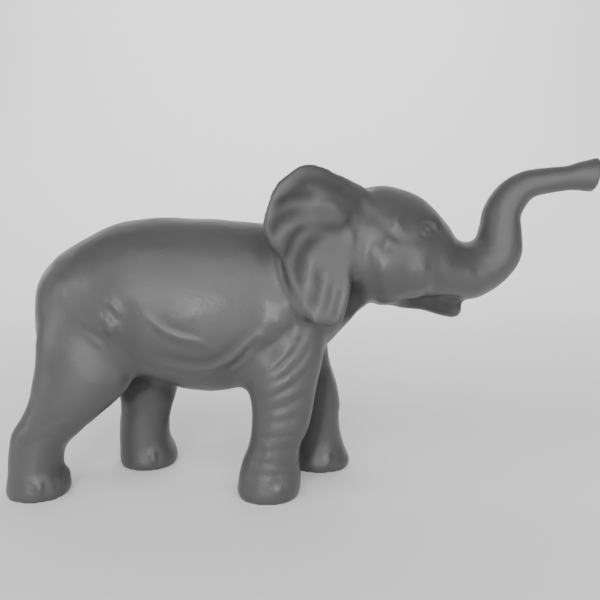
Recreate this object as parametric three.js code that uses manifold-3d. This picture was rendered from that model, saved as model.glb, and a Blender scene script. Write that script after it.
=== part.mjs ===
// An elephant calf that walks with its trunk raised, cast in one piece with no base.
// Millimetres, +Z up, +X towards the head, origin on the ground under the middle of the figure.
import * as THREE from "three";
import { mergeVertices } from "three/addons/utils/BufferGeometryUtils.js";
import Module from "manifold-3d";

const wasm = await Module();
wasm.setup();

// Driving dimensions
const backHeight = 133; // from the soles to the top of the back
const barrelWidth = 71; // across the belly at its widest
const trackWidth = 39; // between the centre lines of the left and right feet
const earThickness = 6; // of the ear's blade
const earRimRoll = 2.2; // how far the folded rim of the ear stands proud of the blade
const eyeRadius = 2.7;
const nailRadius = 3.1;
const tailRadius = 2.3;
const nostrilRadius = 2.5;
const nostrilDepth = 5;

// The pose and proportions were drawn on a figure with this back height, and scale with it.
const drawnBackHeight = 133;
const scale = backHeight / drawnBackHeight;

const spot = (x, y, z) => new THREE.Vector3(x, y, z).multiplyScalar(scale);
const { smoothstep } = THREE.MathUtils;
const lateral = new THREE.Vector3(0, 1, 0);
const halfBarrel = barrelWidth / 2 / scale;
const halfTrack = trackWidth / 2 / scale;

// A station of a loft: its centre, and how far the flesh reaches before or above it, behind or below it,
// and to each side. "Up" is square to the path, so it is up along the body and forwards on a leg.
const station = (x, y, z, up, down, side) => ({
  centre: spot(x, y, z),
  reach: spot(up, down, side),
});

// A closed skin over rings that follow the stations. blunt is 2 for an ellipse and more for a squarer ring.
// The rings stand square to the path, or all face the same way where up is given.
function loft(stations, { rings, sides, blunt = 2, up: fixedUp }) {
  const path = new THREE.CatmullRomCurve3(stations.map((s) => s.centre));
  const girth = new THREE.CatmullRomCurve3(stations.map((s) => s.reach));
  const vertices = [];
  const faces = [];
  const curl = (value) => Math.sign(value) * Math.abs(value) ** (2 / blunt);
  for (let ring = 0; ring <= rings; ring++) {
    const along = ring / rings;
    const centre = path.getPoint(along);
    const reach = girth.getPoint(along);
    const tangent = path.getTangent(along).setY(0).normalize();
    const up = fixedUp ?? new THREE.Vector3().crossVectors(tangent, lateral);
    for (let side = 0; side < sides; side++) {
      const angle = (side / sides) * 2 * Math.PI;
      const rise = curl(Math.cos(angle));
      const across = curl(Math.sin(angle));
      vertices.push(
        centre
          .clone()
          .addScaledVector(up, rise * (rise > 0 ? reach.x : reach.y))
          .addScaledVector(lateral, across * reach.z),
      );
    }
  }
  for (let ring = 0; ring < rings; ring++)
    for (let side = 0; side < sides; side++) {
      const a = ring * sides + side;
      const b = ring * sides + ((side + 1) % sides);
      faces.push([a, a + sides, b], [b, a + sides, b + sides]);
    }
  const first = vertices.push(path.getPoint(0)) - 1;
  const last = vertices.push(path.getPoint(1)) - 1;
  const lastRing = rings * sides;
  for (let side = 0; side < sides; side++) {
    const next = (side + 1) % sides;
    faces.push([first, side, next], [last, lastRing + next, lastRing + side]);
  }
  return skin(vertices, faces);
}

function skin(vertices, faces) {
  const geometry = new THREE.BufferGeometry().setFromPoints(vertices);
  geometry.setIndex(faces.flat());
  return geometry;
}

function solid(geometry) {
  const bare = geometry.clone().deleteAttribute("normal").deleteAttribute("uv");
  const merged = mergeVertices(bare, 1e-4);
  return new wasm.Manifold(
    new wasm.Mesh({
      numProp: 3,
      vertProperties: merged.getAttribute("position").array,
      triVerts: new Uint32Array(merged.index.array),
    }),
  );
}

const union = (solids) => solids.reduce((whole, piece) => whole.add(piece));

// Barrel of the body, from the rump to the inside of the neck, in upright rings: the place along the
// body, the heights of the belly and the back there, and the half width as a share of the barrel's.
const torso = [
  [-130.8, 80, 93, 0.14],
  [-129.2, 72, 101.4, 0.3],
  [-124.6, 65, 109.2, 0.52],
  [-117.4, 60, 115.8, 0.66],
  [-105.6, 56, 123, 0.82],
  [-90, 52, 130, 0.93],
  [-73, 47.4, 133, 0.99],
  [-50, 46.6, 133, 1],
  [-28, 49.2, 131, 0.96],
  [-10, 52, 130.2, 0.88],
  [4, 62.2, 132, 0.8],
  [14, 71, 134.5, 0.76],
  [24, 81.5, 137, 0.72],
  [34, 94, 138, 0.62],
].map(([x, belly, back, share]) => {
  const reach = (back - belly) / 2;
  return station(x, 0, belly + reach, reach, reach, halfBarrel * share);
});

// Skull, face and trunk in one sweep, from inside the neck to the tip of the raised trunk
const headAndTrunk = [
  station(18, 0, 120, 16, 14, 18),
  station(27, 0, 120.5, 26, 25, 26),
  station(40, 0, 119.5, 29, 31.6, 29.5),
  station(52, 0, 117.8, 26.4, 28.2, 29.5),
  station(63.5, 0, 114, 19, 24.8, 26),
  station(74, 0, 109, 12.2, 18.8, 21),
  station(83.6, 0, 107.4, 13.4, 16, 17.2),
  station(92.2, 0, 110.2, 13.6, 12.2, 14.6),
  station(98.2, 0, 117, 12.6, 11.4, 12.8),
  station(99.8, 0, 126, 12, 9.1, 11.3),
  station(100.3, 0, 135, 10.7, 7.7, 10),
  station(103.8, 0, 143.2, 8.8, 8.2, 8.8),
  station(111, 0, 148.6, 7.3, 6.8, 7.6),
  station(120.5, 0, 150.8, 6.5, 6.5, 6.8),
  station(131, 0, 152, 6.1, 6, 6.4),
  station(138, 0, 152.8, 7.8, 7, 7),
  station(143.8, 0, 151.8, 12, 6.6, 8.2),
];

const lowerJaw = [
  station(40, 0, 101, 7, 10.8, 9),
  station(52, 0, 98, 7, 10.4, 12),
  station(63, 0, 94.4, 6, 7.6, 10.6),
  station(72, 0, 90.6, 4.6, 6, 8),
  station(78, 0, 88, 4, 5, 5),
  station(82.2, 0, 86.6, 3, 3.6, 3),
];

// Each leg runs down from inside the body to its flat sole, in level rings: the height, the places of
// its back and its front, its half width, and how far out it stands as a share of the track.
const leg = (side, stations) =>
  stations.map(([z, back, front, half, spread]) => {
    const reach = (front - back) / 2;
    return station(back + reach, side * halfTrack * spread, z, reach, reach, half);
  });

const rightHindLeg = leg(-1, [
  [98, -113, -88, 7, 0.7],
  [84, -127.6, -77, 12.6, 0.8],
  [70, -127.4, -75, 14.8, 0.88],
  [58, -127.8, -74, 14.4, 0.94],
  [48, -129.8, -83, 13.2, 0.98],
  [39, -133.6, -96.8, 12.2, 1],
  [31, -138.8, -106.2, 11.4, 1],
  [23, -140.6, -114, 11, 1],
  [15, -141.4, -116, 11.8, 1],
  [8, -142.2, -114, 13.8, 1],
  [3, -143, -112.7, 15.2, 1],
  [0, -142, -113.8, 14.6, 1],
]);

const leftHindLeg = leg(1, [
  [98, -112, -84, 7, 0.7],
  [84, -118, -72, 12.6, 0.8],
  [70, -112, -68, 14.8, 0.88],
  [58, -105, -66, 14.4, 0.94],
  [48, -100.5, -65, 13.2, 0.98],
  [39, -97, -66.8, 12.2, 1],
  [31, -96.4, -69.4, 11.4, 1],
  [23, -97.2, -70.8, 11, 1],
  [15, -97.6, -70.8, 11.8, 1.02],
  [8, -97.8, -67.8, 13.8, 1.04],
  [3, -97.8, -67, 15.2, 1.04],
  [0, -96.8, -68, 14.6, 1.04],
]);

const rightForeLeg = leg(-1, [
  [98, -20, 12, 7, 0.84],
  [83, -25, 13, 12.5, 0.9],
  [70, -27.5, 12, 13.8, 0.96],
  [57, -26.6, 10, 13.2, 1.02],
  [45, -23.4, 8.6, 12.4, 1.06],
  [34, -23.1, 6.6, 12, 1.1],
  [25, -24.7, 2.6, 11.8, 1.1],
  [16, -28.1, 0.4, 12.2, 1.1],
  [9, -29.9, 0.9, 13.8, 1.1],
  [3, -30.6, 0, 15.4, 1.1],
  [0, -29.6, -1, 14.8, 1.1],
]);

const leftForeLeg = leg(1, [
  [98, -18, 12, 7, 0.84],
  [83, -19, 14, 12.5, 0.86],
  [70, -17, 14.2, 13.6, 0.88],
  [57, -13, 16, 13.2, 0.9],
  [45, -9.5, 19.6, 12.2, 0.9],
  [34, -6.6, 21.4, 11.8, 0.9],
  [25, -5, 21, 11.6, 0.9],
  [16, -4.6, 22.2, 12.2, 0.9],
  [9, -5.4, 24.2, 13.8, 0.9],
  [3, -5.8, 26.8, 15.2, 0.9],
  [0, -4.8, 25.8, 14.6, 0.9],
]);

// The tail hangs from the rump, free below the thighs, and ends in a tuft.
const tail = [
  station(-124, 0, 104, 4, 4, 4),
  station(-128.4, 0, 97, 3, 3, 4),
  station(-130.6, 0, 84, tailRadius / scale, tailRadius / scale, 3),
  station(-130.4, 1, 68, tailRadius / scale, tailRadius / scale, 2.6),
  station(-128.4, 2, 54, tailRadius / scale, tailRadius / scale, 3),
  station(-126, 2.5, 43, 3.4, 3.4, 4),
  station(-124, 3, 33, 2.6, 2.6, 3),
  station(-123.4, 3, 28, 0.8, 0.8, 1),
];

const forwards = new THREE.Vector3(1, 0, 0);
const upwards = new THREE.Vector3(0, 0, 1);
const flesh = [
  loft(torso, { rings: 26, sides: 24, blunt: 2.15, up: upwards }),
  loft(headAndTrunk, { rings: 40, sides: 18 }),
  loft(lowerJaw, { rings: 8, sides: 10 }),
  ...[rightHindLeg, leftHindLeg, rightForeLeg, leftForeLeg].map((stations) =>
    loft(stations, { rings: 2 * (stations.length - 1), sides: 16, blunt: 2.2, up: forwards }),
  ),
];

// Where two forms meet, the skin runs from one to the other in a soft hollow, not in a sharp crease:
// each corner near the meeting line moves towards the middle of its neighbours.
const softeningReach = 9; // from the crease to where the skin is left as it was
const softeningPasses = 14;

function softenCreases(form) {
  const mesh = form.getMesh();
  const corners = [];
  for (let i = 0; i < mesh.vertProperties.length; i += mesh.numProp)
    corners.push(new THREE.Vector3().fromArray(mesh.vertProperties, i));
  const faces = [];
  for (let i = 0; i < mesh.triVerts.length; i += 3)
    faces.push([...mesh.triVerts.subarray(i, i + 3)]);
  const formOf = (index) => mesh.runIndex.findLastIndex((start) => start <= 3 * index);
  const neighbours = corners.map(() => new Set());
  const sideOf = new Map();
  const crease = new Set();
  faces.forEach((face, index) =>
    face.forEach((from, k) => {
      const to = face[(k + 1) % 3];
      neighbours[from].add(to);
      neighbours[to].add(from);
      sideOf.set(`${from} ${to}`, index);
      const other = sideOf.get(`${to} ${from}`);
      if (other !== undefined && formOf(index) !== formOf(other)) crease.add(from).add(to);
    }),
  );
  const soft = corners.flatMap((corner, index) => {
    const away = Math.min(...[...crease].map((on) => corner.distanceTo(corners[on])));
    const firmness = Math.min(1, away / (softeningReach * scale));
    return firmness < 1 ? [{ index, share: (1 - firmness) / 2 }] : [];
  });
  for (let pass = 0; pass < softeningPasses; pass++) {
    const moved = soft.map(({ index: corner, share }) => {
      const mean = new THREE.Vector3();
      let total = 0;
      neighbours[corner].forEach((near) => {
        const weight = 1 / Math.max(0.5, corners[near].distanceTo(corners[corner]));
        mean.addScaledVector(corners[near], weight);
        total += weight;
      });
      return mean.divideScalar(total).lerp(corners[corner], 1 - share);
    });
    soft.forEach(({ index }, k) => corners[index].copy(moved[k]));
  }
  return solid(skin(corners, faces));
}

// Ears: an outline seen from the side, the root where the blade leaves the head, and folds that
// run from the root to the rim. Each fold is a hollow at a place along the outline.
const earOutline = [
  [33.7, 13, 147.6],
  [20.4, 24, 152.7],
  [9.7, 31, 156.8],
  [1.3, 35, 157],
  [-5.2, 38, 153],
  [-10.8, 40, 148.3],
  [-14.8, 41, 138.9],
  [-17, 41, 130.3],
  [-14, 40, 119.8],
  [-8.4, 39, 111],
  [-3.6, 38.5, 100.2],
  [1.3, 37.5, 90.1],
  [9, 35.5, 83.4],
  [17.3, 33, 83.7],
  [21.6, 30.5, 90.6],
  [23, 28.5, 97.8],
  [24.5, 26.5, 106],
  [31, 24, 118],
  [34, 20, 134],
];
const earRoot = [24, 25, 128];
const earFolds = [
  { place: 0.2, width: 0.06, depth: 1.8 },
  { place: 0.35, width: 0.045, depth: 2 },
  { place: 0.47, width: 0.04, depth: 2 },
  { place: 0.59, width: 0.03, depth: 1.6 },
  { place: 0.69, width: 0.022, depth: 1.4 },
];
const earSides = 46;
const earFrontRings = [0.2, 0.38, 0.55, 0.7, 0.82, 0.91, 0.975];
const earBackRings = [0.97, 0.8, 0.45];
const earFoldSweep = 0.07; // the folds curve down towards the rim by this share of the outline
const earRollAt = 0.92; // how far out from the root the rolled rim is proudest
const earRollWidth = 0.07;
const earRollMiddle = 0.27; // the place on the outline, halfway down the rear edge, that the roll runs out from
const earRollEven = 0.12; // the roll keeps its full height this far to each side of there

function ear(side) {
  const outline = new THREE.CatmullRomCurve3(
    earOutline.map(([x, y, z]) => spot(x, y, z)),
    true,
  );
  const root = spot(...earRoot);
  const around = (a, b) => Math.abs(a - b - Math.round(a - b));
  const relief = (place, reach) => {
    const swept = place + earFoldSweep * (1 - reach);
    const fade = reach * smoothstep(reach, 0.2, 0.7) * smoothstep(1 - reach, 0, 0.12);
    const folds = earFolds.map(
      (fold) => -fold.depth * Math.exp(-((around(swept, fold.place) / fold.width) ** 2)) * fade,
    );
    const fromRearEdge = Math.max(0, around(place, earRollMiddle) - earRollEven);
    const rolled = Math.cos(Math.PI * Math.min(0.5, fromRearEdge * 2.2));
    const rim = earRimRoll * rolled * Math.exp(-(((reach - earRollAt) / earRollWidth) ** 2));
    return folds.reduce((sum, fold) => sum + fold * scale, rim);
  };
  const vertices = [];
  const faces = [];
  const addRing = (reach, outward) => {
    for (let k = 0; k < earSides; k++) {
      const place = k / earSides;
      const rim = outline.getPointAt(place);
      const point = root.clone().lerp(rim, reach);
      point.y += outward(place, reach);
      point.y *= side;
      vertices.push(point);
    }
  };
  const half = earThickness / 2;
  const front = (place, reach) => half * Math.sqrt(1 - reach ** 8) + relief(place, reach);
  earFrontRings.forEach((reach) => addRing(reach, front));
  addRing(1, () => 0);
  earBackRings.forEach((reach) => addRing(reach, () => -half * Math.sqrt(1 - reach ** 8)));
  const ringCount = earFrontRings.length + 1 + earBackRings.length;
  for (let ring = 0; ring + 1 < ringCount; ring++)
    for (let k = 0; k < earSides; k++) {
      const a = ring * earSides + k;
      const b = ring * earSides + ((k + 1) % earSides);
      faces.push([a, a + earSides, b], [b, a + earSides, b + earSides]);
    }
  const frontMiddle = vertices.push(new THREE.Vector3(root.x, side * (root.y + half), root.z)) - 1;
  const backMiddle = vertices.push(new THREE.Vector3(root.x, side * (root.y - half), root.z)) - 1;
  const backRing = (ringCount - 1) * earSides;
  for (let k = 0; k < earSides; k++) {
    const next = (k + 1) % earSides;
    faces.push([frontMiddle, k, next], [backMiddle, backRing + next, backRing + k]);
  }
  return skin(vertices, side < 0 ? faces : faces.map(([a, b, c]) => [a, c, b]));
}

// Eyes, nails and nostrils
const bead = (radius, x, y, z, stretch = [1, 1, 1], detail = 1) => {
  const ball = new THREE.IcosahedronGeometry(radius, detail).scale(...stretch);
  const at = spot(x, y, z);
  return ball.translate(at.x, at.y, at.z);
};
const eyes = [-1, 1].map((side) => bead(eyeRadius, 60.4, side * 22.4, 128.2, [1.3, 0.8, 1]));

const feet = [
  { x: -128, side: -1, spread: 1, reach: 14, nails: 4 },
  { x: -82.4, side: 1, spread: 1.04, reach: 14, nails: 4 },
  { x: -15.2, side: -1, spread: 1.1, reach: 14.2, nails: 5 },
  { x: 10.4, side: 1, spread: 0.9, reach: 14.4, nails: 5 },
];
const nailFan = THREE.MathUtils.degToRad(128);
const nails = feet.flatMap(({ x, side, spread, reach, nails: count }) =>
  Array.from({ length: count }, (_, k) => {
    const angle = (k / (count - 1) - 0.5) * nailFan;
    const acrossFoot = side * halfTrack * spread + Math.sin(angle) * reach * 0.92;
    return bead(nailRadius, x + Math.cos(angle) * reach, acrossFoot, 4.6, [0.6, 1, 1.3]);
  }),
);
const nostrils = [-1, 1].map((side) => {
  const stretch = [nostrilDepth / nostrilRadius, 1, 1.35];
  return bead(nostrilRadius, 145.4, side * 3.4, 153.4, stretch);
});

const softFlesh = softenCreases(union(flesh.map(solid)));
const additions = [ear(-1), ear(1), loft(tail, { rings: 14, sides: 8 }), ...eyes, ...nails].map(solid);
const figure = union([softFlesh, ...additions]).subtract(union(nostrils.map(solid)));

const cast = figure.getMesh();
const corners = [];
for (let i = 0; i < cast.vertProperties.length; i += cast.numProp)
  corners.push(new THREE.Vector3().fromArray(cast.vertProperties, i));
const geometry = new THREE.BufferGeometry().setFromPoints(corners);
geometry.setIndex([...cast.triVerts]);
geometry.computeBoundingBox();
const middle = geometry.boundingBox.getCenter(new THREE.Vector3());
geometry.translate(-middle.x, -middle.y, 0);

const greyResin = new THREE.MeshStandardMaterial({ color: 0x6f6f6f, roughness: 0.42, metalness: 0 });
const elephant = new THREE.Mesh(geometry, greyResin);
elephant.name = "elephant";

const sculpture = new THREE.Group();
sculpture.add(elephant);

export default sculpture;
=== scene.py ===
# A small cast figure of an elephant calf, walking with its trunk raised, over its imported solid.
import math
import random

import bmesh
import bpy
import numpy as np
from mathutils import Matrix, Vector, noise
from mathutils.bvhtree import BVHTree


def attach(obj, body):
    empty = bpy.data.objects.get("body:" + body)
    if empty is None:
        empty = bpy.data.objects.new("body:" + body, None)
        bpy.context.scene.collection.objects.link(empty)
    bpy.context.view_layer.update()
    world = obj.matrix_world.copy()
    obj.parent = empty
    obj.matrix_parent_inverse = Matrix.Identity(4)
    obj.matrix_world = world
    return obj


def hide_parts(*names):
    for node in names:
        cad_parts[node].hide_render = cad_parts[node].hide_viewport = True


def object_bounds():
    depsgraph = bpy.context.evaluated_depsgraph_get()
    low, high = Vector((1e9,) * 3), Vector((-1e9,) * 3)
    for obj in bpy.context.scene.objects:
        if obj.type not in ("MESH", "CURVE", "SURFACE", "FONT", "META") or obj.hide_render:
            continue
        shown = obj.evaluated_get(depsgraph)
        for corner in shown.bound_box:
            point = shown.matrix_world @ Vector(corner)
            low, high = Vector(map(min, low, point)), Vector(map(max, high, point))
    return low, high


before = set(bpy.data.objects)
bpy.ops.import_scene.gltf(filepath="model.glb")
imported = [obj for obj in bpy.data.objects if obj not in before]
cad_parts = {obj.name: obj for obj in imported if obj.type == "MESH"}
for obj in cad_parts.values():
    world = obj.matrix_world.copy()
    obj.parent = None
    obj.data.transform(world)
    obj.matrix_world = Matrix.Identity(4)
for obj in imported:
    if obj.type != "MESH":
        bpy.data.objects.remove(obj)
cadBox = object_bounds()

# Shapes are worked out in millimetres on the drawn figure, and turned to metres at the end.
millimetre = 0.001
random.seed(7)

# Camera: level with the figure's back, a little down, as close as a table-top photograph
view = {
    "pitch": 8.2,  # degrees down
    "lens": 41.4,
    "sensor": 36,
    "aim": (0, 0, 92),
    "distance": 345,
    "nearest": 0.01,  # metres
    "pictureWidth": 600,  # pixels
    "drawnOffset": 1.25,  # how far ahead of the finished figure the drawn one stands
}


def lookingFrom():
    pitch = math.radians(view["pitch"])
    forward = Vector((0, math.cos(pitch), -math.sin(pitch)))
    return Vector(view["aim"]) - forward * view["distance"], forward


def makeCamera():
    place, forward = lookingFrom()
    data = bpy.data.cameras.new("camera")
    data.lens = view["lens"]
    data.sensor_width = view["sensor"]
    data.clip_start = view["nearest"]
    camera = bpy.data.objects.new("camera", data)
    camera.location = (place - Vector((view["drawnOffset"], 0, 0))) * millimetre
    camera.rotation_euler = (math.radians(90 - view["pitch"]), 0, 0)
    bpy.context.scene.collection.objects.link(camera)
    bpy.context.scene.camera = camera


makeCamera()
print("camera placed")


# Curves and sweeps
def curvePoint(points, along):
    # Centripetal Catmull-Rom curve through the points, along from 0 to 1
    spans = len(points) - 1
    start = min(int(along * spans), spans - 1)
    inner = [points[start], points[start + 1]]
    before = points[start - 1] if start > 0 else 2 * inner[0] - inner[1]
    after = points[start + 2] if start + 2 <= spans else 2 * inner[1] - inner[0]
    near = [before, *inner, after]
    knots = [0.0]
    for a, b in zip(near, near[1:]):
        knots.append(knots[-1] + max(1e-4, float(np.linalg.norm(b - a))) ** 0.5)
    at = knots[1] + (along * spans - start) * (knots[2] - knots[1])
    blend = lambda a, b, low, high: a + (b - a) * (at - knots[low]) / (knots[high] - knots[low])
    first = [blend(near[k], near[k + 1], k, k + 1) for k in range(3)]
    second = [blend(first[k], first[k + 1], k, k + 2) for k in range(2)]
    return blend(second[0], second[1], 1, 2)


def wrapGrid(form, rows, columns, place):
    # A flat grid is rolled round into a closed skin: place(row, column) gives each corner
    corners = bmesh.ops.create_grid(form, x_segments=rows, y_segments=columns, size=0.5)["verts"]
    for corner in corners:
        row = round((corner.co.x + 0.5) * rows)
        column = round((corner.co.y + 0.5) * columns) % columns
        corner.co = place(row, column)
    bmesh.ops.remove_doubles(form, verts=corners, dist=1e-4)


# A sagging ring is narrowed by this share of its sag squared, so it stays as wide as it is drawn
sagNarrowing = 0.45


def sweep(form, stations, rings, sides, blunt=2, facing=None):
    # Rings along the stations (centre x y z, reach up, down and sideways, sag if any), square to
    # the path unless they all face one way. Blunt is 2 for an ellipse and more for a squarer ring,
    # and sag makes a ring widest below its centre.
    step = 0.002
    centres = [np.array(s[:3], float) for s in stations]
    reaches = [np.array((*s[3:], 0)[:4], float) for s in stations]
    made = []
    for ring in range(rings + 1):
        along = ring / rings
        ahead, behind = min(1, along + step), max(0, along - step)
        tangent = curvePoint(centres, ahead) - curvePoint(centres, behind)
        upward = Vector((tangent[0], 0, tangent[2])).normalized().cross(Vector((0, 1, 0)))
        centre = Vector(curvePoint(centres, along))
        made.append((centre, curvePoint(reaches, along), facing or upward))

    def place(row, column):
        centre, reach, up = made[min(max(row - 1, 0), rings)]
        if row in (0, rings + 2):
            return centre
        angle = column / sides * 2 * math.pi
        curl = lambda value: math.copysign(abs(value) ** (2 / blunt), value)
        rise, across = curl(math.cos(angle)), curl(math.sin(angle))
        across *= reach[2] * (1 - reach[3] * rise) / (1 + sagNarrowing * reach[3] ** 2)
        return centre + up * rise * (reach[0] if rise > 0 else reach[1]) + Vector((0, across, 0))

    wrapGrid(form, rings + 2, sides, place)


# The body's forms, close to the stations of the solid, so that the casting keeps its outline
body = {
    "halfWidth": 35.5,  # of the barrel
    "widestAt": 0.44,  # how far up between belly and back the barrel is widest
    "halfTrack": 19.5,  # from the middle to the line of the feet
    "torsoBlunt": 2.15,  # how square the rings are, 2 for an ellipse
    "legBlunt": 2.2,
    # rings along each form and corners round it
    "grids": {
        "torso": (90, 72), "head": (150, 56), "jaw": (34, 30), "leg": (60, 44), "tail": (60, 20),
    },
    # place along the body, heights of the belly and the back, share of the half width
    "torso": [
        (-130.8, 80, 93, 0.14), (-129.2, 72, 101.4, 0.3), (-124.6, 65, 109.2, 0.52),
        (-117.4, 60, 115.8, 0.66), (-105.6, 60, 123, 0.82), (-90, 59.5, 130, 0.93),
        (-73, 54, 133, 0.99), (-58, 48.4, 133, 1), (-44, 47, 132.4, 1), (-28, 49.2, 131, 0.96),
        (-10, 52, 130.2, 0.88), (4, 62.2, 132, 0.8), (14, 71, 134.5, 0.76), (24, 81.5, 137, 0.72),
        (34, 94, 138, 0.62),
    ],
    # place, height, reach up, down and sideways, sag of the cheeks
    "headAndTrunk": [
        (18, 120, 16, 14, 18, 0), (27, 120.5, 26, 25, 26, 0.06), (40, 119.5, 29, 30.4, 29.5, 0.14),
        (52, 117.8, 26.4, 27.2, 29.5, 0.22), (63.5, 114, 19, 23.2, 26.4, 0.25),
        (74, 109, 12.2, 16, 21.4, 0.2), (83.6, 107.4, 13.4, 14.6, 17.2, 0.1),
        (92.2, 110.2, 13.6, 12.2, 14.6, 0), (98.2, 117, 12.6, 11.4, 12.8, 0),
        (99.8, 126, 12, 9.1, 11.3, 0), (100.3, 135, 10.7, 7.7, 10, 0),
        (103.8, 143.2, 8.8, 8.2, 8.8, 0), (111, 148.6, 7.3, 6.8, 7.6, 0),
        (120.5, 150.8, 6.5, 6.5, 6.8, 0), (131, 152, 6.1, 6, 6.4, 0), (138, 152.8, 7.8, 7, 7, 0),
        (143.8, 151.8, 12, 6.6, 8.2, 0),
    ],
    # the same without the sag
    "lowerJaw": [
        (40, 101, 7, 10.2, 9), (52, 98, 7, 10, 12), (63, 94.4, 6, 7.6, 10.6), (71, 90.4, 3.6, 6, 8),
        (76.6, 88.2, 3.2, 5.2, 6), (80.2, 87.6, 3.6, 4, 4.4),
    ],
    # place, side, height, reach up, down and sideways
    "tail": [
        (-124, 0, 104, 4, 4, 4), (-128.4, 0, 97, 3, 3, 4), (-130.6, 0, 84, 2.3, 2.3, 3),
        (-130.4, 1, 68, 2.3, 2.3, 2.6), (-128.4, 2, 54, 2.3, 2.3, 3), (-126, 2.5, 43, 3.4, 3.4, 4),
        (-124, 3, 33, 2.6, 2.6, 3), (-123.4, 3, 28, 0.8, 0.8, 1),
    ],
}

# Each leg's side, and its stations: height, places of its back and front, half width, share of the
# track that it stands out by
legs = {
    "rightHind": (-1, [
        (98, -112, -90, 7.4, 0.72), (84, -124.6, -82, 13, 0.81), (70, -126.4, -79, 14.4, 0.88),
        (58, -127.6, -79.6, 14.2, 0.94), (48, -129.8, -86.6, 13.2, 0.98),
        (39, -133.6, -97, 12.2, 1), (31, -138.8, -106.2, 11.6, 1), (23, -140.6, -114, 11.8, 1),
        (15, -141.4, -116, 12.6, 1), (8, -142.2, -114, 13.8, 1), (3, -143, -112.7, 14.8, 1),
        (0, -142, -113.8, 14.4, 1),
    ]),
    "leftHind": (1, [
        (98, -112, -84, 7, 0.7), (84, -118, -72, 12.6, 0.8), (70, -112, -68, 14.8, 0.88),
        (58, -105, -66, 14.4, 0.94), (48, -100.5, -65, 13.2, 0.98), (39, -97, -66.8, 12.2, 1),
        (31, -96.4, -69.4, 11.6, 1), (23, -97.2, -70.8, 11.8, 1), (15, -97.6, -70.8, 12.6, 1.02),
        (8, -97.8, -67.8, 13.8, 1.04), (3, -97.8, -67, 14.8, 1.04), (0, -96.8, -68, 14.4, 1.04),
    ]),
    "rightFore": (-1, [
        (98, -20, 12, 7, 0.84), (83, -25, 13, 12.5, 0.9), (70, -27.5, 11.6, 13.8, 0.96),
        (57, -26.6, 8.8, 13.2, 1.02), (45, -23.4, 6.4, 12.4, 1.06), (34, -23.1, 4, 12.2, 1.1),
        (25, -24.7, 0.2, 12.4, 1.1), (16, -28.1, -0.4, 13.2, 1.1), (9, -29.9, 0.7, 14.2, 1.1),
        (3, -30.6, 0, 15, 1.1), (0, -29.6, -1, 14.6, 1.1),
    ]),
    "leftFore": (1, [
        (98, -18, 12, 7, 0.84), (83, -19, 14, 12.5, 0.86), (70, -17, 14.2, 13.6, 0.88),
        (57, -13, 16, 13.2, 0.9), (45, -9.5, 19.6, 12.2, 0.9), (34, -6.6, 21.4, 11.8, 0.9),
        (25, -5, 21, 11.6, 0.9), (16, -4.6, 22.2, 12.2, 0.9), (9, -5.4, 24.2, 13.8, 0.9),
        (3, -5.8, 26.8, 15.2, 0.9), (0, -4.8, 25.8, 14.6, 0.9),
    ]),
}


def legStations(side, rows):
    made = []
    for height, back, front, half, spread in rows:
        reach = (front - back) / 2
        made.append((back + reach, side * body["halfTrack"] * spread, height, reach, reach, half))
    return made


def makeFlesh():
    flesh = bmesh.new()
    grids = body["grids"]
    torso = []
    for x, belly, back, share in body["torso"]:
        down = (back - belly) * body["widestAt"]
        torso.append((x, 0, belly + down, back - belly - down, down, body["halfWidth"] * share))
    sweep(flesh, torso, *grids["torso"], blunt=body["torsoBlunt"], facing=Vector((0, 0, 1)))
    inMiddle = lambda rows: [(x, 0, *rest) for x, *rest in rows]
    sweep(flesh, inMiddle(body["headAndTrunk"]), *grids["head"])
    sweep(flesh, inMiddle(body["lowerJaw"]), *grids["jaw"])
    for side, rows in legs.values():
        stations = legStations(side, rows)
        sweep(flesh, stations, *grids["leg"], blunt=body["legBlunt"], facing=Vector((1, 0, 0)))
    bmesh.ops.recalc_face_normals(flesh, faces=flesh.faces)
    return flesh


def remeshed(form, voxel):
    # One skin over everything, in even small faces
    mesh = bpy.data.meshes.new("casting")
    form.to_mesh(mesh)
    form.free()
    holder = bpy.data.objects.new("casting", mesh)
    bpy.context.scene.collection.objects.link(holder)
    modifier = holder.modifiers.new("remesh", "REMESH")
    modifier.mode = "VOXEL"
    modifier.voxel_size = voxel
    graph = bpy.context.evaluated_depsgraph_get()
    made = bmesh.new()
    made.from_mesh(holder.evaluated_get(graph).to_mesh())
    bpy.data.objects.remove(holder)
    bpy.data.meshes.remove(mesh)
    made.normal_update()
    return made


# The skin: size of its faces, and how it is softened
skin = {
    "fleshVoxel": 1.6,
    "castingVoxel": 0.8,
    "sharpest": -0.3,  # radians, an inner corner sharper than this is softened
    # zones, each along the body, out from its middle and up
    "zones": {
        "rump": ((-150, -96), (0, 50), (76, 112)),
        "bodyCreases": ((-150, 84), (0, 50), (1, 170)),
        "mouth": ((48, 150), (0, 50), (0, 106)),
        "earAtHead": ((20, 44), (5, 42), (104, 154)),
        "earAtShoulder": ((-15, 16), (5, 42), (82, 120)),
        "ears": ((-18, 32), (24, 50), (84, 158)),
        "nails": ((-150, 150), (0, 50), (1.5, 12)),
        "aboveSoles": ((-150, 150), (0, 50), (1.5, 170)),
    },
    # how many rings from the corner, how many passes in each
    "bodyCreases": (6, 12),
    "earCreases": (7, 10),
    "nailCreases": (3, 5),
    # passes over a whole zone
    "rumpPasses": 14,
    "castingPasses": 3,
    "carvedPasses": 2,
    "carvedEarPasses": 4,
}


def isIn(name, place):
    x, y, z = place
    along, out, up = skin["zones"][name]
    return along[0] < x < along[1] and out[0] <= abs(y) < out[1] and up[0] < z < up[1]


def smooth(form, verts, passes):
    axes = {"use_axis_x": True, "use_axis_y": True, "use_axis_z": True}
    for _ in range(passes):
        bmesh.ops.smooth_vert(form, verts=verts, factor=0.5, **axes)


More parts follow.
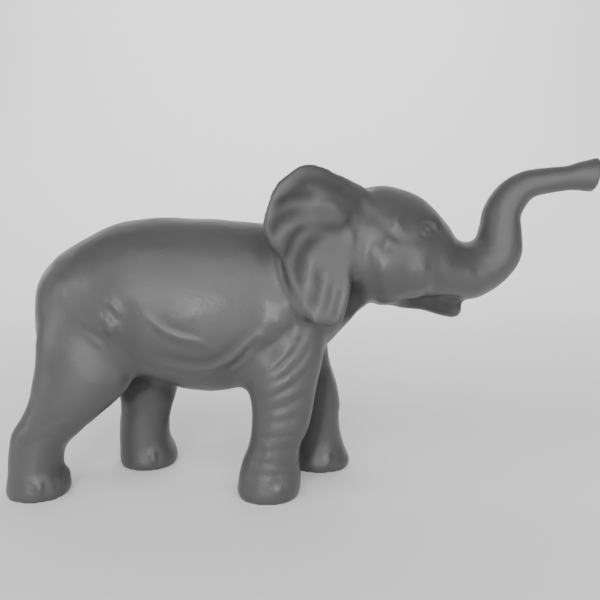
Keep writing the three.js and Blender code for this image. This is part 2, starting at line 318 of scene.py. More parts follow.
def smoothZone(form, name, passes):
    smooth(form, [corner for corner in form.verts if isIn(name, corner.co)], passes)


def softenCreases(form, isSoft, spread, passes):
    # Smooths in rings that widen from the sharp inner corners, most at the corner itself
    near = set()
    for edge in form.edges:
        if edge.is_manifold and isSoft(edge.verts[0].co):
            if edge.calc_face_angle_signed() < skin["sharpest"]:
                near.update(edge.verts)
    layers = []
    for _ in range(spread):
        near = near | {edge.other_vert(corner) for corner in near for edge in corner.link_edges}
        layers.append([corner for corner in near if isSoft(corner.co)])
    for layer in reversed(layers):
        smooth(form, layer, passes)


# Where two forms meet, the skin runs from one to the other in a soft hollow. The mouth stays sharp,
# and the trunk beyond it has no such meeting.
def isBodyCrease(place):
    return isIn("bodyCreases", place) and not isIn("mouth", place)


flesh = remeshed(makeFlesh(), skin["fleshVoxel"])
softenCreases(flesh, isBodyCrease, *skin["bodyCreases"])
# The haunch runs up into the rump without an edge
smoothZone(flesh, "rump", skin["rumpPasses"])
print("flesh", len(flesh.faces))


# Strokes follow points of the picture, cast onto the skin through the camera. Each is pressed in
# (depth below 0) or raised, and fades towards both ends.
def pixelOnSkin(tree, u, v):
    place, forward = lookingFrom()
    up = Vector((0, -forward.z, forward.y))
    width = view["pictureWidth"]
    focal = view["lens"] / view["sensor"] * width
    ray = forward + Vector((1, 0, 0)) * ((u - width / 2) / focal) + up * ((width / 2 - v) / focal)
    return tree.ray_cast(place, ray.normalized())[0]


def spaced(points, step=0.6):
    # Samples along a smooth curve through the points
    points = [np.array(p, float) for p in points]
    if len(points) < 2:
        return np.array(points)
    rough = sum(float(np.linalg.norm(b - a)) for a, b in zip(points, points[1:]))
    count = max(3, int(rough / step))
    return np.array([curvePoint(points, k / count) for k in range(count + 1)])


def onSkin(tree, points):
    return np.array([tree.find_nearest(Vector(p))[0] for p in points])


def strokeFromPicture(tree, pixels, mirrored=True):
    hits = [pixelOnSkin(tree, u, v) for u, v in pixels]
    hits = [hit for hit in hits if hit]
    if not hits:
        return []
    line = onSkin(tree, spaced(hits))
    return [line, onSkin(tree, line * np.array([1, -1, 1]))] if mirrored else [line]


# A stroke is felt out to some widths from its line, and is full from some way in from its ends
strokeShape = {"reach": 3.2, "fadeLength": 0.22, "atEnds": 0.1, "fadePower": 0.7}


def reliefOf(form, strokes):
    # How far the strokes would move each corner
    places = np.array([corner.co for corner in form.verts])
    rise = np.zeros(len(places))
    for depth, width, line in strokes:
        reach = width * strokeShape["reach"]
        low, high = line.min(0) - reach, line.max(0) + reach
        near = np.where(((places > low) & (places < high)).all(1))[0]
        if not len(near):
            continue
        distances = np.linalg.norm(places[near][:, None, :] - line[None, :, :], axis=2)
        along = np.linspace(0, 1, len(line))
        inward = np.minimum(along, 1 - along) / strokeShape["fadeLength"]
        fade = np.clip(inward, strokeShape["atEnds"], 1) ** strokeShape["fadePower"]
        rise[near] += depth * (fade * np.exp(-((distances / width) ** 2))).max(1)
    return rise


def press(form, strokes, lowest=-5, highest=2.4):
    # Moves the skin along its own normals. Where strokes cross, it stops at the limits.
    form.normal_update()
    moves = np.clip(reliefOf(form, strokes), lowest, highest)
    for corner, move in zip(form.verts, moves):
        corner.co += corner.normal * float(move)
    form.normal_update()
    return moves


def strokesAlong(tree, table, mirrored=True):
    # Rows of depth, width and points in the picture
    lines = lambda pixels: strokeFromPicture(tree, pixels, mirrored)
    return [(depth, width, line) for depth, width, pixels in table for line in lines(pixels)]


# The throat falls in behind the ear before the ears are set on, and under the jaw from side to side
throat = {
    "sides": [(-7.5, 3.8, [(349, 284), (353, 292), (355, 301), (348, 316)])],
    "under": [(-1.6, 2.6, [(36, -17, 97), (35, -9, 90), (35, 0, 89), (35, 9, 90), (36, 17, 97)])],
    "deepest": -9,
}
# Painted shade on the throat and the underside of the jaw, on both sides: it darkens only the
# colour
paintedThroatJawShade = [
    (-3.0, 3.6, [(350, 289), (354, 295), (356, 302), (346, 318)]),
    (-0.8, 2.6, [(374, 299), (392, 301), (410, 301)]),
    (-2.2, 4.6, [(408, 303), (424, 304), (440, 307), (456, 309), (472, 312)]),
]
# Painted shade in the groin and on the near sides of the far legs, which have no mirrored twin
paintedLegShade = [
    (-3.4, 3.6, [(126, 399), (131, 391), (139, 385), (150, 383)]),
    (-1.2, 3.0, [(152, 386), (164, 391), (171, 400), (167, 416), (165, 436)]),
    (-2.2, 4.4, [(324, 366), (321, 385), (318, 410), (313, 434), (307, 452), (305, 466)]),
]
fleshTree = BVHTree.FromBMesh(flesh)
hollows = strokesAlong(fleshTree, throat["sides"])
for depth, width, points in throat["under"]:
    hollows.append((depth, width, onSkin(fleshTree, spaced(points))))
press(flesh, hollows, lowest=throat["deepest"])
fleshTree = BVHTree.FromBMesh(flesh)
shade = strokesAlong(fleshTree, paintedThroatJawShade) + strokesAlong(fleshTree, paintedLegShade, mirrored=False)

# Ears: the outline seen from the side, the root, and folds that run from the root to the rim
ears = {
    "thickness": 6,
    "root": (24, 24, 128),
    "outline": [
        (33.5, 9.5, 146.5), (28, 14, 149), (21, 20.6, 152), (15.3, 25.5, 154.2), (9.2, 30.5, 156.6),
        (1.3, 35, 157.2), (-5.2, 38, 153.2), (-10.8, 40, 148.3), (-14.8, 41, 138.9),
        (-16.6, 40.4, 130), (-14, 38, 123), (-9.6, 35.2, 115), (-6.9, 33.6, 107.9),
        (-4, 33.4, 101.1), (0.2, 33.8, 92.8), (4.1, 34.2, 86.8), (7.7, 34, 83.6),
        (10.7, 33.8, 84.4), (13.6, 33.4, 83.2), (16.3, 33, 84.4), (18.9, 32.4, 86.4),
        (21.3, 31, 92.8), (23, 29, 99.9), (24.4, 26, 107.4), (29.4, 21.4, 117), (35, 16.5, 134),
    ],
    # place along the outline, width along it, depth
    "folds": [(0.2, 0.06, 0.9), (0.35, 0.05, 0.7), (0.47, 0.05, 0.7), (0.59, 0.04, 0.6)],
    "foldSweep": 0.07,  # how far the folds bend back towards the root
    "foldsGrow": (0.2, 0.7),  # where on the way out from the root they set in and are full
    "foldsStop": 0.12,  # how far from the rim they end
    # where along the outline the gap behind the blade is filled, how far round, how thick
    "backing": (0.57, 0.2, 13),
    "edgeSquareness": 8,  # how late on the way out the blade thins to its edge, and the backing
    "backingSquareness": 4,
    "rimRoll": 1.5,  # how far the rolled rim stands proud
    "rimEdge": 0.98,  # where the roll ends, as a share of the way out from the root
    "rimFull": (0.25, 0.12, 2.8),  # middle of the roll, how far it stays full, how fast it fades
    "rimWidth": (0.08, 0.14),  # at the rear and at the top, as such a share too
    "rimBroad": (0.14, 0.2, 0.16),  # where it is broadest, how far round, over how long it narrows
    "around": 150,  # corners round the blade, and its rings in front and behind
    "frontRings": 34,
    "backRings": 14,
    "joinGrid": (40, 16),
    # flesh that carries the skin over from cheek and shoulder: thickness, points in the picture
    "joins": [
        (3.0, [(357, 216), (356.6, 230), (356, 246), (354.6, 260), (353, 274)]),
        (3.2, [(281, 250), (284, 262), (288.4, 276), (293, 290), (300, 304), (308, 313)]),
        (3.8, [(300, 304), (305, 311), (311, 316)]),
    ],
}


def earOutline():
    # Points spaced evenly along the outline, which laps over itself so that it closes smoothly
    lap, parts = 3, 40
    ring = [np.array(p, float) for p in ears["outline"]]
    closed = ring[-lap:] + ring + ring[:lap + 1]
    spans = len(closed) - 1
    fine = [curvePoint(closed, (lap + k / parts) / spans) for k in range(parts * len(ring) + 1)]
    lengths = np.cumsum([0] + [float(np.linalg.norm(b - a)) for a, b in zip(fine, fine[1:])])
    wanted = np.linspace(0, lengths[-1], ears["around"], endpoint=False)
    axes = [np.interp(wanted, lengths, values) for values in np.array(fine).T]
    return np.stack(axes, axis=1)


def smoothStep(value, low, high):
    share = min(max((value - low) / (high - low), 0), 1)
    return share * share * (3 - 2 * share)


def makeEar(form, side):
    rim = earOutline()
    root = Vector(ears["root"])
    half = ears["thickness"] / 2
    apart = lambda a, b: abs(a - b - round(a - b))

    def relief(place, reach):
        swept = place + ears["foldSweep"] * (1 - reach)
        fade = smoothStep(reach, *ears["foldsGrow"]) * smoothStep(1 - reach, 0, ears["foldsStop"])
        folds = 0
        for at, wide, deep in ears["folds"]:
            folds -= deep * math.exp(-(apart(swept, at) / wide) ** 2)
        middle, full, fading = ears["rimFull"]
        rolled = math.cos(math.pi * min(0.5, max(0, apart(place, middle) - full) * fading))
        narrow, broad = ears["rimWidth"]
        broadest, spread, narrowing = ears["rimBroad"]
        widened = smoothStep(spread - apart(place, broadest), 0, narrowing)
        width = narrow + (broad - narrow) * widened
        crest = math.exp(-((reach - ears["rimEdge"] + width) / width) ** 2)
        return folds * reach * fade + ears["rimRoll"] * rolled * crest

    def place(row, column):
        beyond = row - ears["frontRings"]
        front = beyond <= 0
        reach = row / ears["frontRings"] if front else 1 - beyond / ears["backRings"]
        share = column / ears["around"]
        edge = half * math.sqrt(max(0, 1 - reach ** ears["edgeSquareness"]))
        point = root.lerp(Vector(rim[column]), reach)
        filled, spread, thick = ears["backing"]
        backing = thick * (1 - smoothStep(apart(share, filled), 0, spread))
        backing *= math.sqrt(max(0, 1 - reach ** ears["backingSquareness"]))
        point.y += edge + relief(share, reach) if front else -edge - backing
        return Vector((point.x, point.y * side, point.z))

    wrapGrid(form, ears["frontRings"] + ears["backRings"], ears["around"], place)


# Eyes: beads sunk into the head. Nails: flat beads fanned round the front of each foot.
eyes = {"pixel": (427.6, 227.8), "radius": 2.0, "stretch": (1.3, 0.8, 0.85), "sunk": 0.5}
nails = {
    "radius": 4.2,
    "stretch": (0.54, 0.95, 1.45),
    "height": 5.6,
    "fan": 132,  # degrees
    "narrower": 0.92,  # reach across the foot, as a share of the reach forward
    # middle of the foot, side, share of the track, reach, how many
    "feet": [
        (-128, -1, 1, 12.8, 4), (-82.8, 1, 1.04, 12.9, 4),
        (-15.2, -1, 1.1, 13.2, 4), (9.6, 1, 0.9, 13.2, 4),
    ],
}


def makeBead(form, radius, place, stretch):
    ball = bmesh.ops.create_icosphere(form, subdivisions=3, radius=radius)["verts"]
    bmesh.ops.scale(form, verts=ball, vec=stretch)
    bmesh.ops.translate(form, verts=ball, vec=place)


def makeExtras():
    extras = bmesh.new()
    x, y, z = pixelOnSkin(fleshTree, *eyes["pixel"])
    for side in (-1, 1):
        makeEar(extras, side)
        makeBead(extras, eyes["radius"], (x, side * (abs(y) - eyes["sunk"]), z), eyes["stretch"])
        for thick, pixels in ears["joins"]:
            path = [pixelOnSkin(fleshTree, *pixel) for pixel in pixels]
            stations = [(p.x, side * abs(p.y), p.z, thick, thick, thick) for p in path if p]
            sweep(extras, stations, *ears["joinGrid"])
    for x, side, spread, reach, count in nails["feet"]:
        for k in range(count):
            angle = math.radians(nails["fan"]) * (k / (count - 1) - 0.5)
            across = side * body["halfTrack"] * spread + math.sin(angle) * reach * nails["narrower"]
            place = (x + math.cos(angle) * reach, across, nails["height"])
            makeBead(extras, nails["radius"], place, nails["stretch"])
    sweep(extras, body["tail"], *body["grids"]["tail"])
    bmesh.ops.recalc_face_normals(extras, faces=extras.faces)
    return extras


extras = makeExtras()
extraMesh = bpy.data.meshes.new("extras")
extras.to_mesh(extraMesh)
extras.free()
flesh.from_mesh(extraMesh)
bpy.data.meshes.remove(extraMesh)
casting = remeshed(flesh, skin["castingVoxel"])


# The ear's root runs over into the head, and its lower rear edge into the shoulder
def isEarCrease(place):
    return isIn("earAtHead", place) or isIn("earAtShoulder", place)


softenCreases(casting, isEarCrease, *skin["earCreases"])
softenCreases(casting, lambda place: isIn("nails", place), *skin["nailCreases"])
smoothZone(casting, "aboveSoles", skin["castingPasses"])
print("casting", len(casting.faces))

# The relief, as strokes: depth, width, points in the picture
carving = {
    "ear": [
        (-1.2, 3.2, [(356, 198), (343.6, 190), (331.6, 184), (317, 181), (304, 184), (297, 190)]),
        (-1.4, 2.5, [
            (330, 197), (312.4, 195.8), (301.6, 196), (290.8, 199), (282.4, 203), (275, 207),
        ]),
        (-1.3, 3.0, [(307, 213), (290.8, 216), (282.4, 222), (276.4, 229), (274, 238)]),
        (-1.3, 2.3, [(312, 228), (300, 232), (294.4, 239), (291, 248), (286.5, 258), (284, 266)]),
        (-1.4, 3.4, [(326, 237), (313, 245), (305, 255), (302.4, 268), (301.6, 282), (299, 300)]),
        (-1.1, 2.6, [(314, 271), (320, 282), (318, 295), (312.6, 312)]),
        (-0.95, 1.9, [(332, 284), (329.6, 298), (325, 316)]),
        (-0.85, 1.7, [(341, 288), (338, 303), (333, 320)]),
        (-1.1, 2.3, [(355, 217), (349.6, 223.4), (342.4, 228.2), (331.6, 228.6), (320, 226)]),
        (0.5, 2.2, [(266.4, 226), (270.4, 241.4), (278, 256)]),
        (1.2, 4.6, [(316, 203), (328, 204), (338, 211)]),
        (0.9, 2.2, [(350.6, 232), (351.4, 240), (350.6, 248)]),
        (0.4, 2.0, [(345, 240), (334, 242.6), (324, 248)]),
        (0.6, 3.0, [(291, 224), (281, 236), (278, 248)]),
        (0.7, 3.2, [(314, 258), (311, 274), (308, 292)]),
        (0.55, 2.1, [(326, 279), (323, 297), (317, 316)]),
        (0.45, 1.9, [(337, 285), (333.6, 300), (328.6, 316)]),
        (0.45, 1.7, [(346, 284), (343.6, 300), (339, 314)]),
        (0.7, 2.2, [(291, 275), (294, 285), (299, 295)]),
    ],
    "head": [
        (-0.45, 2.6, [(371, 214), (385, 227), (395, 237.4), (404, 241), (418, 240.4), (438, 240)]),
        (1.5, 3.0, [(397, 217), (396.6, 227)]),
        (1.2, 2.8, [(390, 239), (386, 248)]),
        (0.5, 3.0, [(371, 226), (368, 236)]),
        (0.4, 3.4, [(364, 246), (372, 254)]),
        (0.7, 3.0, [(384, 267), (382, 274)]),
        (0.7, 3.0, [(369, 199), (370, 207)]),
        (1.3, 4.0, [(420.4, 266), (421.4, 278), (423.4, 290)]),
        (-0.5, 4.4, [(406, 252), (404, 268), (402, 286)]),
        (-0.4, 4.4, [(438, 256), (440, 270), (440, 284)]),
        (-1.5, 1.3, [(404, 299.4), (418, 299.2), (434, 297.6), (448, 296), (461, 297)]),
        (0.3, 3.0, [(470, 272), (474, 280)]),
        (-0.12, 2.0, [(468, 264), (476, 271), (480, 282)]),
        (-0.16, 1.6, [(484, 260), (490, 268), (494, 278)]),
    ],
    "eye": [
        (-0.9, 2.6, [(432, 218), (437.6, 222.6), (438.6, 230)]),
        (-0.5, 2.6, [(424, 219.6), (430, 218)]),
        (0.34, 0.8, [(420.8, 226.6), (424.4, 223.4), (428.6, 222.4), (432.6, 224.6), (434.4, 229)]),
        (-0.4, 0.6, [(422.6, 227.6), (427, 225), (431, 226.6), (432.4, 230)]),
        (0.18, 1.0, [(421.4, 230.6), (426, 233), (431.4, 232.4)]),
        (-0.3, 1.0, [(420, 234), (427, 237), (434, 235.4)]),
        (-0.3, 0.9, [(417, 223), (421, 219), (427, 216.6)]),
    ],
    "flank": [
        (0.5, 1.4, [(145, 314), (160, 328), (178, 337), (194, 340), (210, 347)]),
        (-0.35, 2.2, [(156, 314), (168, 324), (181, 330.6), (196, 334)]),
        (-0.35, 2.6, [(150, 325), (162, 338), (182, 346), (204, 352)]),
        (0.75, 1.4, [
            (148, 359), (170, 365), (190, 369), (206, 369.6), (222, 364), (238, 353), (248, 343),
            (259, 332),
        ]),
        (-0.5, 2.3, [
            (150, 350), (172, 357), (192, 361), (206, 361.4), (219, 356), (231, 346), (244, 333),
        ]),
        (0.6, 1.2, [(231, 370), (243, 363), (254, 348)]),
        (-0.45, 1.2, [(226, 370), (239, 361), (251, 345)]),
        (1.1, 1.7, [(108, 299), (115, 307), (120, 316)]),
        (1.8, 2.8, [(104, 315), (109, 324), (112, 333)]),
        (0.5, 1.6, [(115, 322), (118, 331)]),
        (-0.4, 1.5, [(101, 306), (111, 313), (116, 322)]),
        (-0.25, 1.4, [(79, 325), (92, 332), (103, 341), (111, 353)]),
        (0.2, 1.4, [(82, 332), (93, 339), (104, 349)]),
        (0.5, 5, [(54, 283), (68, 289)]),
        (0.5, 7, [(176, 312), (188, 314), (200, 313)]),
        (-0.5, 5, [(126, 300), (129, 330), (130, 352)]),
    ],
    "shoulder": [
        (1.7, 6.4, [(286, 302), (285, 314), (279, 328)]),
        (0.3, 1.6, [(272, 300), (272, 312), (268, 326)]),
        (0.3, 1.6, [(280, 299), (280, 312), (275, 328)]),
        (0.3, 1.6, [(288, 304), (288, 316), (283, 331)]),
        (-0.6, 5.0, [(264, 350), (278, 352)]),
        (0.7, 2.2, [(263, 333), (260, 342)]),
        (0.6, 2.0, [(291, 299), (299, 311), (301.4, 323)]),
        (-0.5, 1.6, [(291, 309), (294, 320), (290, 334)]),
    ],
    "foreLeg": [
        (-0.4, 1.1, [(297, 318), (290, 334), (280, 346), (266, 360)]),
        (0.3, 1.2, [(294, 324), (286, 340), (272, 354)]),
        (-0.35, 1.1, [(289, 322), (281, 336), (268, 348)]),
        (0.35, 1.3, [(300, 324), (296, 338), (286, 353), (270, 369)]),
        (-0.45, 1.2, [(305, 322), (301, 337), (292, 352), (279, 366), (267, 376)]),
        (0.25, 1.2, [(309, 331), (302, 347), (290, 362), (274, 376)]),
        (-0.35, 1.3, [(313, 342), (303, 358), (290, 372), (271, 384)]),
        (0.22, 1.2, [(312, 352), (303, 366), (288, 379), (268, 392)]),
        (-0.35, 1.2, [(313, 362), (300, 378), (285, 390), (262, 400)]),
        (0.25, 1.2, [(309, 380), (296, 392), (276, 402)]),
        (-0.3, 1.2, [(309, 389), (296, 400), (274, 409), (260, 411)]),
        (0.22, 1.2, [(306, 402), (289, 412), (268, 416)]),
        (-0.28, 1.2, [(303, 414), (287, 420), (264, 423)]),
        (0.25, 1.4, [(262, 440), (268, 452), (262, 466)]),
    ],
}

# Wrinkles that run alike: depth, width, the first and the last line in the picture, how many
wrinkles = {
    "wobble": 1.2,  # pixels
    "lines": [
        (-0.24, 1.4, [(254, 434), (276, 438), (300, 432)], [(243, 471), (266, 476), (298, 467)], 4),
        (-0.22, 1.4, [(18, 418), (40, 424), (62, 416)], [(12, 436), (32, 444), (56, 434)], 2),
        (-0.18, 0.9, [(290, 345), (297, 340), (304, 342)], [(276, 404), (283, 399), (292, 400)], 6),
    ],
}


def wrinkleLines(first, last, count):
    most = wrinkles["wobble"]
    for k in range(count):
        share = k / max(1, count - 1)
        wobble = [(random.uniform(-most, most), random.uniform(-most, most)) for _ in first]
        yield [
            (a[0] + (b[0] - a[0]) * share + w[0], a[1] + (b[1] - a[1]) * share + w[1])
            for a, b, w in zip(first, last, wobble)
        ]


# Wrinkles round the legs, on all sides. The near fore leg has its own, drawn from the picture.
legWrinkles = {
    "legs": ["rightHind", "leftHind", "leftFore"],
    "lowest": 14,
    "highest": 64,
    "highestHind": 34,
    "spacing": 5.6,
    "spacingShares": (0.7, 1.3),
    "length": (130, 250),  # degrees round the leg
    "points": 8,
    "wobble": 0.5,
    "depth": -0.3,
    "width": 1.5,
    "strength": (0.5, 1.1),  # shares of the depth
    "hindStrength": 0.6,
    "tilt": 0.3,  # rise towards the front, as a share of the leg's reach
    "tiltFull": 30,  # how far above the lowest wrinkle the tilt is full
    "hindTilt": 0.4,
}


def roundLeg(tree, name):
    side, rows = legs[name]
    stations = legStations(side, rows)[::-1]
    fore = name.endswith("Fore")
    heights = [s[2] for s in stations]
    read = lambda column, height: float(np.interp(height, heights, [s[column] for s in stations]))
    made = []
    height = legWrinkles["lowest"]
    while height < (legWrinkles["highest"] if fore else legWrinkles["highestHind"]):
        start = random.uniform(0, 360)
        length = random.uniform(*legWrinkles["length"])
        grown = min(1, (height - legWrinkles["lowest"]) / legWrinkles["tiltFull"])
        tilt = legWrinkles["tilt"] * grown * (1 if fore else legWrinkles["hindTilt"])
        points = []
        for k in range(legWrinkles["points"] + 1):
            angle = math.radians(start + length * k / legWrinkles["points"])
            wobble = random.uniform(-legWrinkles["wobble"], legWrinkles["wobble"])
            z = height + wobble + tilt * read(3, height) * math.cos(angle)
            x = read(0, z) + read(3, z) * math.cos(angle)
            points.append((x, read(1, z) + read(5, z) * math.sin(angle), z))
        share = random.uniform(*legWrinkles["strength"])
        depth = legWrinkles["depth"] * share * (1 if fore else legWrinkles["hindStrength"])
        made.append((depth, legWrinkles["width"], onSkin(tree, spaced(points))))
        height += legWrinkles["spacing"] * random.uniform(*legWrinkles["spacingShares"])
    return made


def allStrokes(tree):
    made = []
    for table in carving.values():
        made += strokesAlong(tree, table)
    for depth, width, first, last, count in wrinkles["lines"]:
        for pixels in wrinkleLines(first, last, count):
            made += strokesAlong(tree, [(depth, width, pixels)], mirrored=False)
    for name in legWrinkles["legs"]:
        made += roundLeg(tree, name)
    return made


# Nostrils are pressed straight back into the end of the trunk
nostrils = {
    "behind": 140.4,  # nothing behind here is pressed, nor skin that faces less than half forwards
    "facing": 0.5,
    "apart": 3.4,  # from the middle
    "height": 153.2,
    "width": 1.9,
    "tall": 1.35,  # height as a share of width
    "depth": 3.6,
    "steepness": 4,
}


def pressNostrils(form):
    for corner in form.verts:
        if corner.co.x > nostrils["behind"] and corner.normal.x > nostrils["facing"]:
            across = abs(corner.co.y) - nostrils["apart"]
            gap = math.hypot(across, (corner.co.z - nostrils["height"]) / nostrils["tall"])
            share = math.exp(-((gap / nostrils["width"]) ** nostrils["steepness"]))
            corner.co.x -= nostrils["depth"] * share


# The skin was modelled by hand, so nowhere is quite even
unevenness = {
    "swellings": [(14, 0.22), (5, 0.11)],  # their size, how far they rise
    "from": 2,  # height at which they set in, so that the soles stay flat
    "over": 5,
}


def unevenSkin(place):
    firm = min(1, max(0, place.z - unevenness["from"]) / unevenness["over"])
    return firm * sum(rise * noise.noise(place / size) for size, rise in unevenness["swellings"])


def carve(form):
    strokes = allStrokes(BVHTree.FromBMesh(form))
    rise = press(form, strokes)
    smoothZone(form, "aboveSoles", skin["carvedPasses"])
    smoothZone(form, "ears", skin["carvedEarPasses"])
    # Painted shade: these strokes only darken the colour through the carving attribute, the skin is
    # not moved
    rise += reliefOf(form, shade)
    for corner in form.verts:
        corner.co += corner.normal * unevenSkin(corner.co)
    pressNostrils(form)
    print("carved", len(strokes), "strokes")
    return rise


# Depths of the carving, with the painted shade strokes added for the colour
rise = carve(casting)


# The casting stands where the solid stands, inside the same box, with its soles flat on the ground
sole = 0.35  # how much is pressed flat underneath
mostTriangles = 190000


def fitToSolid(form):
    low, high = np.array(cadBox[0]), np.array(cadBox[1])
    for corner in form.verts:
        corner.co.z = (max(corner.co.z, sole) - sole) * high[2] / (high[2] - sole * millimetre)
        corner.co.x -= view["drawnOffset"]
        corner.co = np.clip(np.array(corner.co) * millimetre, low, high)


fitToSolid(casting)
bmesh.ops.recalc_face_normals(casting, faces=casting.faces)
mesh = bpy.data.meshes.new("elephantCasting")
casting.to_mesh(mesh)
casting.free()
for face in mesh.polygons:
    face.use_smooth = True
# The carved depths with the painted shade added, read by the resin's colour
carvedDepthWithShade = mesh.attributes.new("carving", "FLOAT", "POINT")
carvedDepthWithShade.data.foreach_set("value", rise.astype(np.float32))
elephant = bpy.data.objects.new("elephantCasting", mesh)
bpy.context.scene.collection.objects.link(elephant)
thin = elephant.modifiers.new("fewerFaces", "DECIMATE")
triangles = sum(len(face.vertices) - 2 for face in mesh.polygons)
thin.ratio = min(1, mostTriangles / triangles)
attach(elephant, "root")
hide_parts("elephant")
print("triangles", min(triangles, mostTriangles))


# Materials
def linear(hexColour):
    channels = [int(hexColour[k:k + 2], 16) / 255 for k in (1, 3, 5)]
    return (*[c / 12.92 if c <= 0.04045 else ((c + 0.055) / 1.055) ** 2.4 for c in channels], 1)


def addNode(tree, kind, inputs, **settings):
    node = tree.nodes.new(kind)
    for name, value in settings.items():
        setattr(node, name, value)
    for name, value in inputs.items():
        if isinstance(value, bpy.types.NodeSocket):
            tree.links.new(value, node.inputs[name])
        else:
            node.inputs[name].default_value = value
    return node


def newMaterial(name):
    material = bpy.data.materials.new(name)
    material.use_nodes = True
    material.node_tree.nodes.clear()
    return material, material.node_tree


# Cast polyester resin, sprayed with a thin satin grey, with painted shade darkening it in the
# grooves and under the shade strokes; soft speckled highlights
resin = {
    "colour": "#434343",
    "hollow": "#2c2c2c",  # painted shade, in the grooves and under the shade strokes
    "hollowDepths": (-1.6, 0.1),  # millimetres of depth, from full painted shade to none
    "roughness": 0.37,
    "glossPatches": (22, -0.05, 0.06),  # their size, how far the roughness falls and rises
    # the hand-worked skin, the spray's orange peel and its grain:
    # size and height in millimetres, detail, roughness of the noise, strength
    "relief": [(3.2, 0.2, 2, 0.5, 0.3), (0.9, 0.2, 3, 0.6, 0.6), (0.35, 0.06, 1, 0.5, 0.35)],
}


def addNoise(tree, coords, size, detail, roughness=0.5):
    inputs = {"Vector": coords, "Scale": 1 / (size * millimetre)}
    inputs |= {"Detail": detail, "Roughness": roughness}
    return addNode(tree, "ShaderNodeTexNoise", inputs).outputs["Fac"]


def makeResin():
    material, tree = newMaterial("castResinSatinGrey")
    coords = addNode(tree, "ShaderNodeTexCoord", {}).outputs["Object"]
    # The carving's depths with the painted shade strokes added: the deeper, the darker the painted
    # shade
    carved = addNode(tree, "ShaderNodeAttribute", {}, attribute_name="carving").outputs["Fac"]
    deep, shallow = resin["hollowDepths"]
    hollow = addNode(tree, "ShaderNodeMapRange", {
        "Value": carved, "From Min": deep, "From Max": shallow, "To Min": 1.0, "To Max": 0.0,
    }).outputs["Result"]
    # Sockets 6 and 7 are the resin's colour and its painted-shade colour, and the result is socket
    # 2
    colour = addNode(tree, "ShaderNodeMix", {
        0: hollow, 6: linear(resin["colour"]), 7: linear(resin["hollow"]),
    }, data_type="RGBA").outputs[2]
    # The noise seldom leaves 0.3 to 0.7
    patchSize, fall, climb = resin["glossPatches"]
    gloss = addNode(tree, "ShaderNodeMapRange", {
        "Value": addNoise(tree, coords, patchSize, 2), "From Min": 0.3, "From Max": 0.7,
        "To Min": resin["roughness"] + fall, "To Max": resin["roughness"] + climb,
    }).outputs["Result"]
    # Where the painted shade lies, the resin is up to twice as rough
    inputs = {0: gloss, 1: hollow, 2: gloss}
    rough = addNode(tree, "ShaderNodeMath", inputs, operation="MULTIPLY_ADD").outputs["Value"]
    normal = None
    for size, height, detail, roughness, strength in resin["relief"]:
        inputs = {"Height": addNoise(tree, coords, size, detail, roughness)}
        inputs |= {"Strength": strength, "Distance": height * millimetre}
        inputs |= {"Normal": normal} if normal else {}
        normal = addNode(tree, "ShaderNodeBump", inputs).outputs["Normal"]
    shader = addNode(tree, "ShaderNodeBsdfPrincipled", {
        "Base Color": colour, "Roughness": rough, "IOR": 1.5, "Normal": normal,
    })
    addNode(tree, "ShaderNodeOutputMaterial", {"Surface": shader.outputs["BSDF"]})
    return material


elephant.data.materials.append(makeResin())
print("resin mixed")

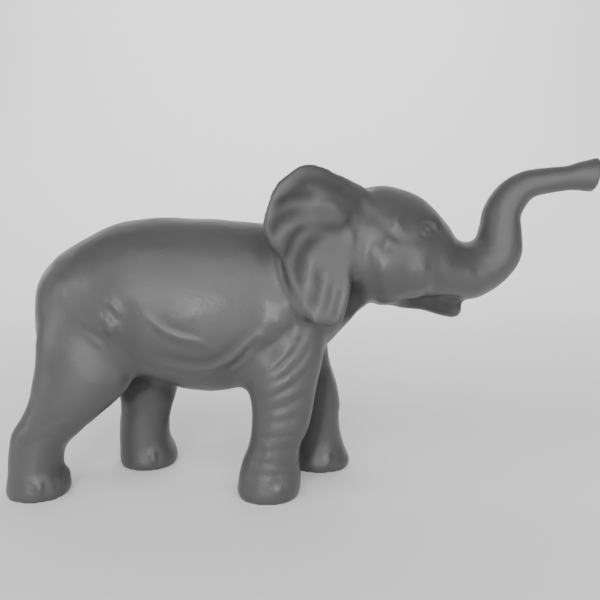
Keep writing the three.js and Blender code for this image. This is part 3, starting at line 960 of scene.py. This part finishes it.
# Stage, in metres: a pale floor that runs up behind, and soft studio lights
stage = {
    "floor": "#f4f4f4",
    "floorRoughness": 0.8,
    "halfFloor": 3,
    "floorStrips": 120,
    "bendFrom": 0.55,
    "bendRadius": 0.7,
    "world": "#ffffff",
    "worldStrength": 0.25,
    # where each light stands, what it faces, its width and height, its watts
    "lights": {
        "window": ((-0.2, -1.06, 0.2), (0, 0, 0.09), (0.26, 0.18), 5),
        "rightWindow": ((0.6, -0.95, 0.4), (0.05, 0, 0.12), (0.7, 0.6), 2.8),
        "leftWindow": ((-1.1, -0.45, 0.36), (0, 0, 0.09), (0.5, 0.4), 4),
        "headFill": ((0.14, -0.62, 0.5), (0.08, 0, 0.13), (0.8, 0.4), 0.9),
        "lowCard": ((0.34, -0.42, 0.12), (0.12, 0, 0.12), (0.3, 0.1), 0.4),
        "frontFill": ((-0.1, -1.0, 0.9), (0, 0, 0.08), (1.5, 1.0), 10),
        "overhead": ((0, 0.1, 1.3), (0, 0, 0.05), (1.0, 0.8), 0.8),
        "rearLeft": ((-1.0, 0.8, 0.4), (0, 0, 0.09), (0.5, 0.4), 1.1),
        "rearRight": ((1.0, 0.8, 0.4), (0, 0, 0.09), (0.5, 0.4), 1),
        "backdropLight": ((0, 0.55, 0.9), (0, 1.4, 0.2), (1.6, 0.4), 12),
    },
}


def makeFloor():
    form = bmesh.new()
    strips = stage["floorStrips"]
    bmesh.ops.create_grid(form, x_segments=1, y_segments=strips, size=stage["halfFloor"])
    radius = stage["bendRadius"]
    for corner in form.verts:
        beyond = corner.co.y - stage["bendFrom"]
        if beyond > 0:
            angle = min(beyond / radius, math.pi / 2)
            corner.co.y = stage["bendFrom"] + radius * math.sin(angle)
            corner.co.z = radius * (1 - math.cos(angle)) + max(0, beyond - radius * math.pi / 2)
    floorMesh = bpy.data.meshes.new("floor")
    form.to_mesh(floorMesh)
    form.free()
    floor = bpy.data.objects.new("floor", floorMesh)
    bpy.context.scene.collection.objects.link(floor)
    material, tree = newMaterial("paleFloor")
    paint = {"Base Color": linear(stage["floor"]), "Roughness": stage["floorRoughness"]}
    shader = addNode(tree, "ShaderNodeBsdfPrincipled", paint)
    addNode(tree, "ShaderNodeOutputMaterial", {"Surface": shader.outputs["BSDF"]})
    floorMesh.materials.append(material)


def makeLight(name, place, aim, size, watts):
    data = bpy.data.lights.new(name, "AREA")
    data.shape = "RECTANGLE"
    data.size, data.size_y = size
    data.energy = watts
    light = bpy.data.objects.new(name, data)
    light.location = place
    light.rotation_euler = (Vector(aim) - Vector(place)).to_track_quat("-Z", "Y").to_euler()
    bpy.context.scene.collection.objects.link(light)


def makeStage():
    makeFloor()
    for name, (place, aim, size, watts) in stage["lights"].items():
        makeLight(name, place, aim, size, watts)
    world = bpy.data.worlds.new("studio")
    world.use_nodes = True
    background = world.node_tree.nodes["Background"].inputs
    background["Color"].default_value = linear(stage["world"])
    background["Strength"].default_value = stage["worldStrength"]
    bpy.context.scene.world = world


makeStage()
print("stage lit")
